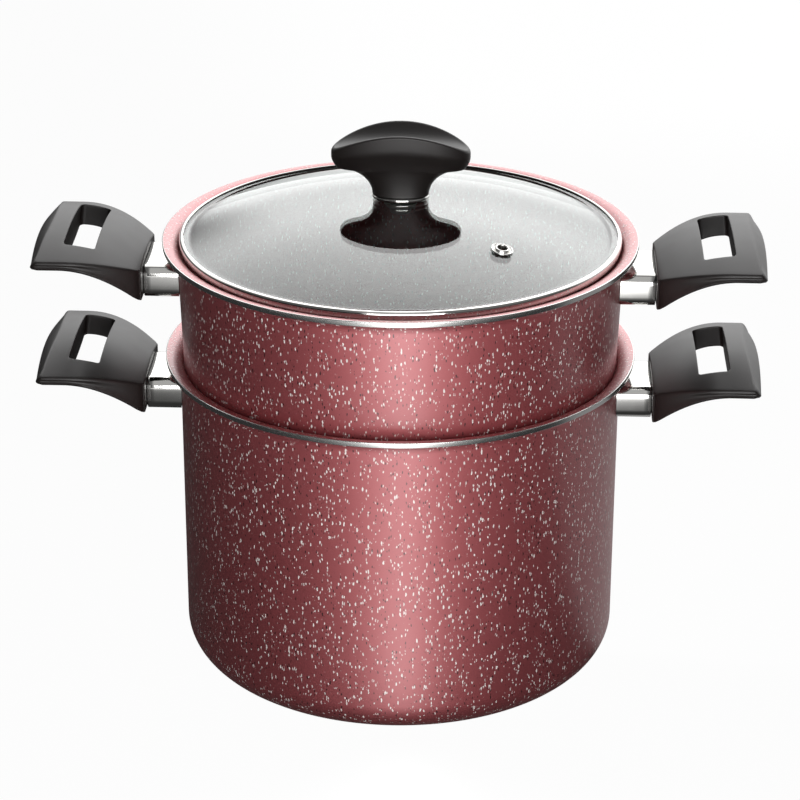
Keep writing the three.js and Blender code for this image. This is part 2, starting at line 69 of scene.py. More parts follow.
# Side handles, from the root face on the sleeve's axis
SPIGOT = 8.0 * MM
HANDLE_SWEEP = 42.0 * MM  # length over which the root blends into the grip
ROOT_WIDTH = 60.0 * MM
ROOT_ABOVE = 9.4 * MM
ROOT_BELOW = 9.6 * MM
ROOT_CROWN = 3.6 * MM
ROOT_ROUND = 0.9 * MM  # upright corners of the root
ROOT_EDGE = 0.6 * MM  # rounding of the root's upper edge
ROOT_HEEL = 3.0 * MM  # rounding of its lower edge
GRIP_WIDTH = 100.0 * MM
GRIP_LIFT = 16.5 * MM
GRIP_EDGE = 4.5 * MM
GRIP_CROWN = 8.0 * MM
GRIP_BELLY = 5.7 * MM
GRIP_BULGE = 1.5 * MM  # bow of the outer end
GRIP_NOSE = 7.5 * MM  # length of the sloping end in the middle
NOSE_BEND = 4.0 * MM  # corners of its plan
NOSE_CORNER = 5.5 * MM  # its length at those corners
NOSE_POWER = 1.2  # below 2 the nose is a sloping face under a ridge
NOSE_DROP = 6.5 * MM  # how far that face falls
NOSE_SHARE = 0.75  # most of the end's height that it takes
NOSE_UNDER = 0.22  # most that the rounding under it takes
EDGE_SHARE = 0.46  # most of a side's height that one rounding takes
GRIP_ROUND = 1.3 * MM  # rounding along the sides
GRIP_GROOVE = 0.7 * MM  # hollow along the side faces
NOSE_TURN = radians(86)  # where the corner runs into the bowed end
WINDOW_START = 24.6 * MM
WINDOW_LENGTH = 17.0 * MM
WINDOW_WIDTH = 65.0 * MM
WINDOW_CORNER = 2.5 * MM
WINDOW_ROUND = 0.8 * MM
WINDOW_TILT = radians(5.5)
SCREW_SEAT = 6.5 * MM
SCREW_BORE = 4.8 * MM  # radius of the bore for the screw's head
SCREW_SHANK = 2.5 * MM  # radius
SCREW_HEAD = 3.0 * MM  # height
RECESS_REACH = 0.62  # of a screw's cross, as a share of the head's radius
RECESS_BREADTH = 0.24
RECESS_DEPTH = 0.6  # share of the head's height
RECESS_TAPER = 0.45
HARDWARE_ROUND = 0.25 * MM  # edges of screws and washers
SLEEVE_CORNER = 6.0 * MM
SLEEVE_SHEET = 0.8 * MM
SLEEVE_ROUND = 0.25 * MM

# Lid
BAND_SHEET = 0.6 * MM
BAND_LAP = 2.4 * MM
BAND_BEND = 1.8 * MM
BAND_TIP = 0.18 * MM  # broken edge of its sheet
GLASS = 4.0 * MM
GLASS_EDGE = 5.0 * MM  # flat ring of the glass inside the band
GLASS_ROUND = 0.9 * MM  # of its outer edge
GLASS_BLEND = 0.3 * MM  # softness of the turn from the flat ring into the dome
VENT_HOLE = 2.7 * MM  # radius
VENT_BARREL = 4.0 * MM
VENT_FLANGE = 6.0 * MM
VENT_RIM = 1.0 * MM  # height of the flange's outer rim
VENT_LIP = 0.8 * MM  # rolled lip round the hole, above that rim
VENT_SHEET = 0.8 * MM
VENT_MIDDLE = 1.5 * MM  # middle of the eyelet under the face of the glass
COLLAR_ROUND = 0.6 * MM
KNOB_NECK_LENGTH = 31.0 * MM
KNOB_NECK_WIDTH = 18.0 * MM
KNOB_WING = 15.0 * MM  # height of the wings' lower corners
KNOB_WING_ROUND = 2.7 * MM  # how far those corners draw in
KNOB_WING_SHARE = 0.75  # share of the wall over which they round off
KNOB_BAND_BLEND = 0.1  # softness of the band's lower border
KNOB_BAND = 9.0 * MM  # upright band under the middle of the top edge
KNOB_ARCH = 11.6 * MM
KNOB_DISH = 7.5 * MM
KNOB_CREASE = 1.4 * MM  # rounding of the top edge
KNOB_PLAN = 2.3  # power of the plan's oval, a little squarer than an ellipse
KNOB_SWELL = 2.2  # power of the hollow curve from the neck out to the band
BOLT_HOLE = 3.3 * MM  # radius
BOLT_SHANK = 3.0 * MM
BOLT_HEAD = 3.2 * MM  # height

# Facets
AROUND = 192
AROUND_SMALL = 64
AROUND_HOLE = 24
ON_AXIS = 1e-7
SAME_POINT = 1e-9
CREASE = radians(40)


def lerp(start, end, share):
    return start + (end - start) * share


def clamp(share):
    return min(1.0, max(0.0, share))


def smooth_least(first, second, blend):
    """The lesser of two values, with a rounded change from one to the other."""
    return (first + second - hypot(first - second, blend)) / 2


def smooth(share):
    share = clamp(share)
    return share * share * (3 - 2 * share)


# Places from the frame
pot_low, pot_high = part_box("pot_shell")
steamer_low, steamer_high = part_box("steamer_shell")
band_low, band_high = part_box("lid_band")
glass_low, glass_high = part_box("lid_glass")
knob_low, knob_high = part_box("lid_knob")
collar_low, collar_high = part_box("knob_collar")
grip_low, grip_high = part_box("pot_handle_right")
nose_start = grip_high.x - grip_low.x - SPIGOT - GRIP_BULGE - NOSE_BEND
flare_centre = pot_high.x - LIP
wall_radius = flare_centre - FLARE + SHEET
foot_radius = wall_radius - SHEET - NEST_PLAY
shoulder_top = pot_high.z - SEAT_DEPTH
shoulder_radius = flare_centre - sqrt(FLARE**2 - (FLARE - SEAT_DEPTH) ** 2) - SEAT_GAP
steamer_taper = (wall_radius - shoulder_radius) / (steamer_high.z - FLARE - shoulder_top)


# Nodes and finishes


def linear(code):
    """An sRGB hex colour as linear RGBA."""
    channels = [int(code[i : i + 2], 16) / 255 for i in (1, 3, 5)]
    return (*(c / 12.92 if c <= 0.04045 else ((c + 0.055) / 1.055) ** 2.4 for c in channels), 1.0)


def add_node(tree, kind, sockets=None, **settings):
    """Adds a shader node. A socket's entry is a value, or else an output or a node to link from."""
    node = tree.nodes.new("ShaderNode" + kind)
    for name, value in settings.items():
        setattr(node, name, value)
    for name, value in (sockets or {}).items():
        if isinstance(value, bpy.types.Node):
            value = value.outputs[0]
        if isinstance(value, bpy.types.NodeSocket):
            tree.links.new(value, node.inputs[name])
        else:
            node.inputs[name].default_value = value
    return node


def new_finish(name):
    """An empty material, its tree and the place on the object that its patterns are drawn by."""
    finish = bpy.data.materials.new(name)
    finish.use_nodes = True
    tree = finish.node_tree
    tree.nodes.clear()
    return finish, tree, add_node(tree, "TexCoord").outputs["Object"]


def dressed(finish, sockets, kind="BsdfPrincipled"):
    """The material with its shader: what is the same all over is set on a socket, what varies is linked."""
    shader = add_node(finish.node_tree, kind, sockets)
    add_node(finish.node_tree, "OutputMaterial", {"Surface": shader})
    return finish


def flecks(tree, place, pitch, share, largest, seed):
    """Mask of ragged flecks: a share of the cells of a pitch holds one, up to the largest radius."""
    soft = 0.1 * MM / pitch  # blur of a fleck's edge
    none = -0.1  # radius in an empty cell
    shifted = add_node(tree, "VectorMath", {0: place, 1: (seed, seed, seed)}, operation="ADD")
    cells = add_node(tree, "TexVoronoi", {"Vector": shifted, "Scale": 1 / pitch, "Randomness": 1.0})
    draw = add_node(tree, "SeparateColor", {"Color": cells.outputs["Color"]})
    span = {"From Min": 1 - share, "From Max": 1.0, "To Min": none, "To Max": largest / pitch}
    radius = add_node(tree, "MapRange", {"Value": draw, **span})
    inside = add_node(tree, "Math", {0: radius, 1: cells}, operation="SUBTRACT")
    return add_node(tree, "MapRange", {"Value": inside, "From Min": -soft, "From Max": soft})


def speckled_coating():
    """Non-stick spray with red mica over aluminium: a satin pearl with ragged white and brown flecks."""
    finish, tree, place = new_finish("red_mica_nonstick_sprayed")
    pearl, shade = linear("#a85256"), linear("#9f4c50")
    white, brown = linear("#dcd8d4"), linear("#3c1719")
    mica = 0.8  # metallic share of the pearl; a white fleck has none
    pitch = 1.0 * MM  # one fleck at most in each cell
    run_down = (1.0, 1.0, 0.4)  # flecks run down the wall before the spray sets
    ragged_size, ragged_spread = 1.6 * MM, 0.9 * MM
    mottle_size, grain_size = 0.9 * MM, 0.5 * MM
    run = add_node(tree, "Mapping", {"Vector": place, "Scale": run_down})
    ragged = add_node(tree, "TexNoise", {"Vector": place, "Scale": 1 / ragged_size, "Detail": 2.0})
    warp = {0: ragged.outputs["Color"], 1: [ragged_spread] * 3, 2: run}
    warped = add_node(tree, "VectorMath", warp, operation="MULTIPLY_ADD")
    pale = flecks(tree, warped, pitch, share=0.5, largest=0.48 * MM, seed=0.0)
    dark = flecks(tree, warped, pitch, share=0.36, largest=0.42 * MM, seed=0.37)
    mottle = add_node(tree, "TexNoise", {"Vector": place, "Scale": 1 / mottle_size, "Detail": 1.0})
    colour = add_node(tree, "Mix", {0: mottle, 6: shade, 7: pearl}, data_type="RGBA").outputs[2]
    for mask, fleck in ((dark, brown), (pale, white)):
        mixed = add_node(tree, "Mix", {0: mask, 6: colour, 7: fleck}, data_type="RGBA")
        colour = mixed.outputs[2]
    metal = add_node(tree, "MapRange", {"Value": pale, "To Min": mica, "To Max": 0.0})
    grain = add_node(tree, "TexNoise", {"Vector": place, "Scale": 1 / grain_size, "Detail": 2.0})
    bump = add_node(tree, "Bump", {"Height": grain, "Strength": 0.12, "Distance": 0.05 * MM})
    spray = {"Base Color": colour, "Metallic": metal, "Roughness": 0.56, "Normal": bump}
    return dressed(finish, {**spray, "Coat Weight": 1.0, "Coat Roughness": 0.32, "Coat IOR": 1.7})


def turned_aluminium():
    """Bare aluminium turned on a lathe: rings that blur the reflections round the axis."""
    finish, tree, place = new_finish("turned_aluminium")
    ring_pitch = 5.0265 * MM  # the tool's marks are finer; they are drawn coarse so that they show
    unscaled_pitch = 2 * pi / 20  # of the wave at a scale of one
    wave = {"Vector": place, "Scale": unscaled_pitch / ring_pitch, "Distortion": 0.6, "Detail": 1.0}
    rings = add_node(tree, "TexWave", wave, wave_type="RINGS", rings_direction="Z").outputs["Fac"]
    rough = add_node(tree, "MapRange", {"Value": rings, "To Min": 0.24, "To Max": 0.4})
    bump = add_node(tree, "Bump", {"Height": rings, "Strength": 0.25, "Distance": 0.03 * MM})
    metal = {"Base Color": linear("#c6c6c4"), "Metallic": 1.0}
    return dressed(finish, {**metal, "Roughness": rough, "Normal": bump})


def clouded_metal(name, colour, size, detail, smoothest, roughest, span=(0.0, 1.0)):
    """A bare metal whose mirror is clouded by marks of a size, over a span of their noise."""
    finish, tree, place = new_finish(name)
    marks = add_node(tree, "TexNoise", {"Vector": place, "Scale": 1 / size, "Detail": detail})
    ends = {"From Min": span[0], "From Max": span[1], "To Min": smoothest, "To Max": roughest}
    rough = add_node(tree, "MapRange", {"Value": marks, **ends})
    return dressed(finish, {"Base Color": linear(colour), "Metallic": 1.0, "Roughness": rough})


def moulded_bakelite():
    """Phenolic resin from a satin mould: brown-black, with a soft grey sheen and a very fine grain."""
    finish, tree, place = new_finish("moulded_bakelite")
    dark, light = linear("#151110"), linear("#1c1716")
    flow_size = 14 * MM
    grain_size = 0.6 * MM  # coarser than the mould's own, so that it shows
    flow = add_node(tree, "TexNoise", {"Vector": place, "Scale": 1 / flow_size, "Detail": 3.0})
    tone = add_node(tree, "Mix", {0: flow, 6: dark, 7: light}, data_type="RGBA").outputs[2]
    rough = add_node(tree, "MapRange", {"Value": flow, "To Min": 0.41, "To Max": 0.49})
    grain = add_node(tree, "TexNoise", {"Vector": place, "Scale": 1 / grain_size, "Detail": 2.0})
    bump = add_node(tree, "Bump", {"Height": grain, "Strength": 0.1, "Distance": 0.05 * MM})
    return dressed(finish, {"Base Color": tone, "Roughness": rough, "IOR": 1.47, "Normal": bump})


def tempered_glass():
    """Soda-lime glass, bent and tempered: clear, faintly green, with long shallow waves."""
    finish, tree, place = new_finish("tempered_soda_lime_glass")
    wave_length = 60 * MM
    wave = add_node(tree, "TexNoise", {"Vector": place, "Scale": 1 / wave_length, "Detail": 0.0})
    bump = add_node(tree, "Bump", {"Height": wave, "Strength": 0.1, "Distance": 0.2 * MM})
    clear = {"Base Color": linear("#eaf0ed"), "Roughness": 0.0, "IOR": 1.52, "Transmission Weight": 1.0}
    return dressed(finish, {**clear, "Normal": bump})


def pressed_silicone():
    """Compression-moulded silicone: milky and matt, with a dusting of fine specks."""
    finish, tree, place = new_finish("moulded_silicone")
    grey, milk = linear("#cfccc5"), linear("#e0ddd8")
    speck_size = 0.8 * MM
    dust = add_node(tree, "TexNoise", {"Vector": place, "Scale": 1 / speck_size, "Detail": 2.0})
    tone = add_node(tree, "Mix", {0: dust, 6: grey, 7: milk}, data_type="RGBA").outputs[2]
    depth = (1.0 * MM, 0.8 * MM, 0.7 * MM)  # to which red, green and blue light soaks in
    milky = {"Subsurface Weight": 0.15, "Subsurface Radius": depth}
    return dressed(finish, {"Base Color": tone, "Roughness": 0.65, **milky})


COATING = speckled_coating()
ALUMINIUM = turned_aluminium()
# pressed stainless sheet: a mirror with a faint bloom of marks where it is buffed, softer where tumbled
STAINLESS = clouded_metal("buffed_stainless_steel", "#d2d1ce", 6 * MM, 6.0, 0.05, 0.13, span=(0.3, 0.7))
TUMBLED = clouded_metal("tumbled_stainless_steel", "#d2d1ce", 6 * MM, 6.0, 0.22, 0.32, span=(0.3, 0.7))
# cold-headed steel, zinc plated: a dull bright grey with a cloudy surface
SCREW_STEEL = clouded_metal("zinc_plated_steel", "#b4b6b6", 2 * MM, 4.0, 0.2, 0.46)
# brass bar turned to a bush: yellow, smooth and faintly uneven
BRASS = clouded_metal("machined_brass", "#c3a35a", 1.5 * MM, 3.0, 0.2, 0.36)
BAKELITE = moulded_bakelite()
CLEAR_GLASS = tempered_glass()
SILICONE = pressed_silicone()
COATED, BARE = 0, 1  # zones of a shell


# Skins: corners, faces and the material zone of each face


def arc(radius, height, bend, start, end, steps, zone=0):
    """Points of a (radius, height, zone) profile round a bend, with angles in degrees."""
    points = []
    for i in range(steps + 1):
        angle = radians(lerp(start, end, i / steps))
        points.append((radius + bend * cos(angle), height + bend * sin(angle), zone))
    return points


def joined(rings, closed, zones=None):
    """Faces between neighbouring rings of corners; a ring of one corner is a tip."""
    faces, face_zones = [], []
    pairs = list(zip(rings, rings[1:]))
    if closed:
        pairs.append((rings[-1], rings[0]))
    for k, (lower, upper) in enumerate(pairs):
        count = max(len(lower), len(upper))
        for i in range(count):
            j = (i + 1) % count
            corners = [lower[i % len(lower)], lower[j % len(lower)]]
            corners += [upper[j % len(upper)], upper[i % len(upper)]]
            faces.append(list(dict.fromkeys(corners)))
            face_zones.append(zones[(k + 1) % len(rings)] if zones else 0)
    return faces, face_zones


def turned(profile, around=AROUND, closed=False):
    """Turns a profile of (radius, height, zone) about Z."""
    corners, rings = [], []
    for radius, height, _ in profile:
        count = 1 if radius < ON_AXIS else around
        rings.append(list(range(len(corners), len(corners) + count)))
        for i in range(count):
            angle = 2 * pi * i / around
            corners.append((radius * cos(angle), radius * sin(angle), height))
    faces, zones = joined(rings, closed, [zone for _, _, zone in profile])
    return corners, faces, zones


def skinned(loops, closed):
    """Joins loops of points, each with the same count; an open row of loops is capped at both ends."""
    count = len(loops[0])
    corners = [point for loop in loops for point in loop]
    rings = [list(range(k * count, (k + 1) * count)) for k in range(len(loops))]
    faces, zones = joined(rings, closed)
    if not closed:
        faces += [rings[0][::-1], rings[-1]]
        zones += [0, 0]
    return corners, faces, zones


def mesh_of(name, skin, finishes):
    corners, faces, zones = skin
    mesh = bpy.data.meshes.new(name)
    mesh.from_pydata(corners, [], faces)
    for finish in finishes:
        mesh.materials.append(finish)
    mesh.polygons.foreach_set("material_index", zones)
    mesh.shade_smooth()
    mesh.set_sharp_from_angle(angle=CREASE)
    return mesh


def add_object(name, data):
    thing = bpy.data.objects.new(name, data)
    bpy.context.scene.collection.objects.link(thing)
    return thing


def add_piece(name, mesh, body, node, place=None):
    """Puts a mesh in the scene in place of a CAD node, riding on that node's body."""
    piece = add_object(name, mesh)
    piece.matrix_world = place or Matrix.Identity(4)
    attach(piece, body)
    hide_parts(node)


def refinish(node, finish):
    """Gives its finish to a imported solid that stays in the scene."""
    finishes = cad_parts[node].data.materials
    finishes.clear()
    finishes.append(finish)


def cut(mesh, cutter):
    """The mesh with the cutter taken away from it."""
    pair = [add_object("cut_part", part) for part in (mesh, cutter)]
    modifier = pair[0].modifiers.new("cut", "BOOLEAN")
    modifier.object = pair[1]
    modifier.solver = "EXACT"
    shown = pair[0].evaluated_get(bpy.context.evaluated_depsgraph_get())
    result = bpy.data.meshes.new_from_object(shown)
    for part in pair:
        bpy.data.objects.remove(part)
    result.name = mesh.name
    result.shade_smooth()
    result.set_sharp_from_angle(angle=CREASE)
    return result


# Pressed shells


def mouth(rim):
    """The rolled-out mouth from the outer wall, over the bare lip, to the inner wall."""
    edge = flare_centre + LIP - LIP_ROUND
    return [
        *arc(flare_centre, rim - FLARE, FLARE - SHEET, 180, 90, 14, COATED),
        *arc(edge, rim - SHEET + LIP_ROUND, LIP_ROUND, -90, 0, 4, BARE),
        *arc(edge, rim - LIP_ROUND, LIP_ROUND, 0, 90, 4, BARE),
        *arc(flare_centre, rim - FLARE, FLARE, 90, 180, 18, COATED),
    ]


def pressed_pot():
    corner = wall_radius - POT_CORNER
    low = pot_low.z
    profile = [
        (0.0, low, BARE),
        (BASE_TURNED, low, BARE),
        *arc(corner, low + POT_CORNER, POT_CORNER, -90, 0, 16, COATED),
        *mouth(pot_high.z),
        *arc(corner, low + POT_CORNER, POT_CORNER - SHEET, 0, -90, 14, COATED),
        (0.0, low + SHEET, COATED),
    ]
    mesh = mesh_of("pressed_pot", turned(profile), [COATING, ALUMINIUM])
    add_piece("pressed_pot", mesh, "pot", "pot_shell")


def shoulder_step(inset):
    """The S-shaped step from the steamer's foot out to the shoulder that sits on the pot."""
    steps = 12
    points = []
    for i in range(steps + 1):
        share = i / steps
        radius = lerp(foot_radius, shoulder_radius, smooth(share))
        points.append((radius - inset, shoulder_top - SHOULDER * (1 - share), COATED))
    return points


def steam_hole_centres(flat):
    """Holes in rings of six, twelve, eighteen and so on, over the flat of the base."""
    rings = int((flat - 2 * STEAM_HOLE) / STEAM_PITCH)
    centres = []
    for ring in range(rings + 1):
        count = max(1, 6 * ring)
        for i in range(count):
            angle = 2 * pi * i / count
            centres.append((ring * STEAM_PITCH * cos(angle), ring * STEAM_PITCH * sin(angle)))
    return centres


def perforate(skin, low_ring, high_ring, base, centres):
    """Closes a shell's open base with a plate full of round-edged holes."""
    corners, faces, zones = skin
    top = base + SHEET
    edge = STEAM_EDGE
    rows = [
        (STEAM_HOLE + edge, top),
        (STEAM_HOLE + ROUND_MIDDLE * edge, top - ROUND_MIDDLE * edge),
        (STEAM_HOLE, top - edge),
        (STEAM_HOLE, base + edge),
        (STEAM_HOLE + ROUND_MIDDLE * edge, base + ROUND_MIDDLE * edge),
        (STEAM_HOLE + edge, base),
    ]
    outline = [Vector(corners[i]).xy for i in high_ring]
    loops = [list(range(len(outline)))]
    upper, lower = list(high_ring), list(low_ring)
    for x, y in centres:
        rings = []
        for radius, height in rows:
            rings.append(list(range(len(corners), len(corners) + AROUND_HOLE)))
            for i in range(AROUND_HOLE):
                angle = 2 * pi * i / AROUND_HOLE
                corners.append((x + radius * cos(angle), y + radius * sin(angle), height))
        walls, _ = joined(rings, False)
        faces += walls
        loops.append(list(range(len(outline), len(outline) + AROUND_HOLE)))
        outline += [Vector(corners[i]).xy for i in rings[0]]
        upper += rings[0]
        lower += rings[-1]
    edges = [(loop[i - 1], loop[i]) for loop in loops for i in range(len(loop))]
    inside_only = 1
    _, _, triangles, origins, _, _ = delaunay_2d_cdt(outline, edges, [], inside_only, SAME_POINT)
    for triangle in triangles:
        a, b, c = (origins[i][0] for i in triangle)
        middle = (outline[a] + outline[b] + outline[c]) / 3
        if any((middle - Vector(centre)).length < STEAM_HOLE for centre in centres):
            continue
        faces.append([upper[a], upper[b], upper[c]])
        faces.append([lower[c], lower[b], lower[a]])
    return corners, faces, zones + [COATED] * (len(faces) - len(zones))


def pressed_steamer():
    corner = foot_radius - STEAMER_CORNER
    base = steamer_low.z
    profile = [
        *arc(corner, base + STEAMER_CORNER, STEAMER_CORNER, -90, 0, 10, COATED),
        *shoulder_step(0),
        *mouth(steamer_high.z),
        *reversed(shoulder_step(SHEET)),
        *arc(corner, base + STEAMER_CORNER, STEAMER_CORNER - SHEET, 0, -90, 8, COATED),
    ]
    skin = turned(profile)
    count = len(skin[0])
    high_ring = range(count - AROUND, count)
    skin = perforate(skin, range(AROUND), high_ring, base, steam_hole_centres(corner))
    mesh = mesh_of("pressed_steamer", skin, [COATING, ALUMINIUM])
    add_piece("pressed_steamer", mesh, "steamer", "steamer_shell")


# Side handles


def grip_blend(out):
    left = 1 - clamp(out / HANDLE_SWEEP)
    return 1 - left * left


def grip_half_width(out):
    return lerp(ROOT_WIDTH, GRIP_WIDTH, grip_blend(out)) / 2


def grip_faces(out, across):
    """Heights of the underside and the arched top at a place in the grip's plan."""
    blend = grip_blend(out)
    arch = 1 - clamp(abs(across) / grip_half_width(out)) ** 2
    low = lerp(-ROOT_BELOW, GRIP_LIFT, blend) - GRIP_BELLY * blend * arch
    high = lerp(ROOT_ABOVE, GRIP_LIFT + GRIP_EDGE, blend) + lerp(ROOT_CROWN, GRIP_CROWN, blend) * arch
    return low, high


SIDE_STEPS, CORNER_STEPS, LONG_STEPS = 20, 8, 36  # facets of the plan's sides, corners, ends


def grip_outline():
    """Plan of the grip, anticlockwise from a root corner: out, across, rounding, groove and nose share.

    The groove deepens over the first quarter of a side and fades over half a corner.
    """

    def nose_corner(turn):
        return nose_start + NOSE_BEND * sin(turn), GRIP_WIDTH / 2 - NOSE_BEND * (1 - cos(turn))

    def mirrored(points):
        return [(out, -across, *rest) for out, across, *rest in points]

    half = []
    for i in range(SIDE_STEPS):
        share = i / SIDE_STEPS
        out = lerp(ROOT_ROUND, nose_start, share)
        groove = GRIP_GROOVE * smooth(4 * share)
        half.append((out, grip_half_width(out), GRIP_ROUND, groove, 0.0))
    for i in range(CORNER_STEPS):
        share = i / CORNER_STEPS
        at_nose = smooth(share)
        bend = lerp(GRIP_ROUND, NOSE_CORNER, at_nose)
        groove = GRIP_GROOVE * (1 - smooth(2 * share))
        half.append((*nose_corner(NOSE_TURN * share), bend, groove, at_nose))
    end_out, end_across = nose_corner(NOSE_TURN)
    nose = []
    for i in range(LONG_STEPS + 1):
        share = lerp(-1, 1, i / LONG_STEPS)
        arch = 1 - share * share
        bend = lerp(NOSE_CORNER, GRIP_NOSE, arch)
        nose.append((end_out + GRIP_BULGE * arch, end_across * share, bend, 0.0, 1.0))
    corner = []
    for i in range(1, CORNER_STEPS):
        turn = 0.5 * pi * i / CORNER_STEPS
        out = ROOT_ROUND * (1 - sin(turn))
        across = ROOT_WIDTH / 2 - ROOT_ROUND * (1 - cos(turn))
        corner.append((out, across, GRIP_ROUND, 0.0, 0.0))
    root = []
    root_half = ROOT_WIDTH / 2 - ROOT_ROUND
    for i in range(LONG_STEPS + 1):
        root.append((0.0, lerp(root_half, -root_half, i / LONG_STEPS), GRIP_ROUND, 0.0, 0.0))
    return mirrored(half) + nose + half[::-1] + corner + root + mirrored(corner[::-1])


def window_outline():
    """The finger window's plan, in step with the grip's outline."""
    near, far = WINDOW_START, WINDOW_START + WINDOW_LENGTH
    side = WINDOW_WIDTH / 2
    bend = WINDOW_CORNER

    def straight(start, end, steps):
        shares = [i / steps for i in range(steps + 1)]
        return [(lerp(start[0], end[0], share), lerp(start[1], end[1], share)) for share in shares]

    def bent(out, across, start):
        points = []
        for i in range(1, CORNER_STEPS):
            angle = radians(start + 90 * i / CORNER_STEPS)
            points.append((out + bend * cos(angle), across + bend * sin(angle)))
        return points

    return [
        *straight((near + bend, -side), (far - bend, -side), SIDE_STEPS),
        *bent(far - bend, -side + bend, -90),
        *straight((far, -side + bend), (far, side - bend), LONG_STEPS),
        *bent(far - bend, side - bend, 0),
        *straight((far - bend, side), (near + bend, side), SIDE_STEPS),
        *bent(near + bend, side - bend, 90),
        *straight((near, side - bend), (near, -side + bend), LONG_STEPS),
        *bent(near + bend, -side + bend, 180),
    ]


def grip_section(window, edge):
    """One closed section of the grip, from the finger window over the top and back underneath."""
    bend_steps, face_steps, wall_steps = 8, 9, 6
    near, rim = Vector(window), Vector(edge[:2])
    width = (rim - near).length
    bend, groove, at_nose = edge[2:]
    rim_low, rim_high = grip_faces(*rim)
    tall = rim_high - rim_low
    power = lerp(2.0, NOSE_POWER, at_nose)
    at_root = 1 - clamp(rim.x / ROOT_HEEL)
    upper_bend = lerp(bend, ROOT_EDGE, at_root)
    upper_sink = lerp(min(upper_bend, EDGE_SHARE * tall), min(NOSE_DROP, NOSE_SHARE * tall), at_nose)
    lower_bend = lerp(lerp(bend, GRIP_ROUND, at_nose), ROOT_HEEL, at_root)
    lower_sink = min(lerp(lower_bend, GRIP_ROUND, at_nose), lerp(EDGE_SHARE, NOSE_UNDER, at_nose) * tall)

    def face_rows(edge_bend, edge_sink):
        """Shares of the way from the window to the edge, with how far each row sinks under the face."""
        turns = [0.5 * pi * i / bend_steps for i in range(bend_steps + 1)]
        rows = []
        for turn in turns:
            rows.append((WINDOW_ROUND * (1 - cos(turn)) / width, WINDOW_ROUND * (1 - sin(turn))))
        for i in range(1, face_steps):
            rows.append((lerp(WINDOW_ROUND / width, 1 - edge_bend / width, i / face_steps), 0.0))
        for turn in turns:
            aside = 1 - max(0.0, sin(turn)) ** (2 / power)
            down = 1 - max(0.0, cos(turn)) ** (2 / power)
            rows.append((1 - edge_bend * aside / width, edge_sink * down))
        return rows

    def corner(share, sink, upper):
        plan = near.lerp(rim, share)
        height = grip_faces(*plan)[upper]
        plan.x += (GRIP_LIFT + GRIP_EDGE - height) * tan(WINDOW_TILT) * (1 - share)
        height = grip_faces(*plan)[upper]
        return Vector((plan.x, plan.y, height - sink if upper else height + sink))

    top = [corner(share, sink, 1) for share, sink in face_rows(upper_bend, upper_sink)]
    under = [corner(share, sink, 0) for share, sink in reversed(face_rows(lower_bend, lower_sink))]
    side, wall = [], []
    inwards = (near - rim).to_3d() / width
    for i in range(1, wall_steps):
        share = i / wall_steps
        side.append(top[-1].lerp(under[0], share) + inwards * groove * sin(pi * share))
        wall.append(under[-1].lerp(top[0], share))
    return top + side + under + wall


def screw_bore():
    """The bore for the screw's head, along the handle and open on its underside."""
    profile = [
        (0.0, SCREW_SEAT, 0),
        (SCREW_BORE, SCREW_SEAT, 0),
        (SCREW_BORE, HANDLE_SWEEP, 0),
        (0.0, HANDLE_SWEEP, 0),
    ]
    corners, faces, zones = turned(profile, AROUND_HOLE)
    return [(z, y, -x) for x, y, z in corners], faces, zones


def grip_mesh():
    sections = [grip_section(window, edge) for window, edge in zip(window_outline(), grip_outline())]
    body = mesh_of("bakelite_grip", skinned(sections, True), [BAKELITE])
    return cut(body, mesh_of("grip_bore", screw_bore(), [BAKELITE]))


def rounded_rectangle(width, height, bend, steps=8):
    points = []
    for turn, (side, up) in enumerate(((1, 1), (-1, 1), (-1, -1), (1, -1))):
        for i in range(steps + 1):
            angle = radians(90 * (turn + i / steps))
            across = side * (width / 2 - bend) + bend * cos(angle)
            points.append((across, up * (height / 2 - bend) + bend * sin(angle)))
    return points


def sleeve_mesh(name, low, high, radius, taper):
    """The flame guard: a drawn tube whose inner end follows the shell's wall."""
    axis = (low.z + high.z) / 2
    width, height = high.y - low.y, high.z - low.z
    end = high.x
    middle = ROUND_MIDDLE * SLEEVE_ROUND
    loops = []

    def add_loop(inset, out=None):
        """A loop round the tube at a distance out, or else along the wall."""
        points = []
        for across, up in rounded_rectangle(width - 2 * inset, height - 2 * inset, SLEEVE_CORNER - inset):
            wall = sqrt((radius + SEAT_GAP + taper * up) ** 2 - across**2)
            points.append((wall if out is None else out, across, axis + up))
        loops.append(points)

    add_loop(0.0)
    for share in (0.25, 0.5, 0.75):
        add_loop(0.0, lerp(radius + SLEEVE_ROUND, end, share))
    add_loop(0.0, end - SLEEVE_ROUND)
    add_loop(middle, end - middle)
    add_loop(SLEEVE_ROUND, end)
    add_loop(SLEEVE_SHEET, end)
    add_loop(SLEEVE_SHEET)
    return mesh_of(name, skinned(loops, True), [STAINLESS])


def cross_recess(reach, breadth, depth):
    """A tapered cross, to be cut into a screw's head from above."""
    loops = []
    for height, scale in ((-depth, 1 - RECESS_TAPER), (0.0, 1.0), (depth, 1 + RECESS_TAPER)):
        loop = []
        for turn in range(4):
            angle = 0.5 * pi * turn
            along = Vector((cos(angle), sin(angle))) * scale
            beside = Vector((-along.y, along.x)) * breadth / 2
            for point in (along * reach - beside, along * reach + beside, along * breadth / 2 + beside):
                loop.append((point.x, point.y, height))
        loops.append(loop)
    return skinned(loops, False)


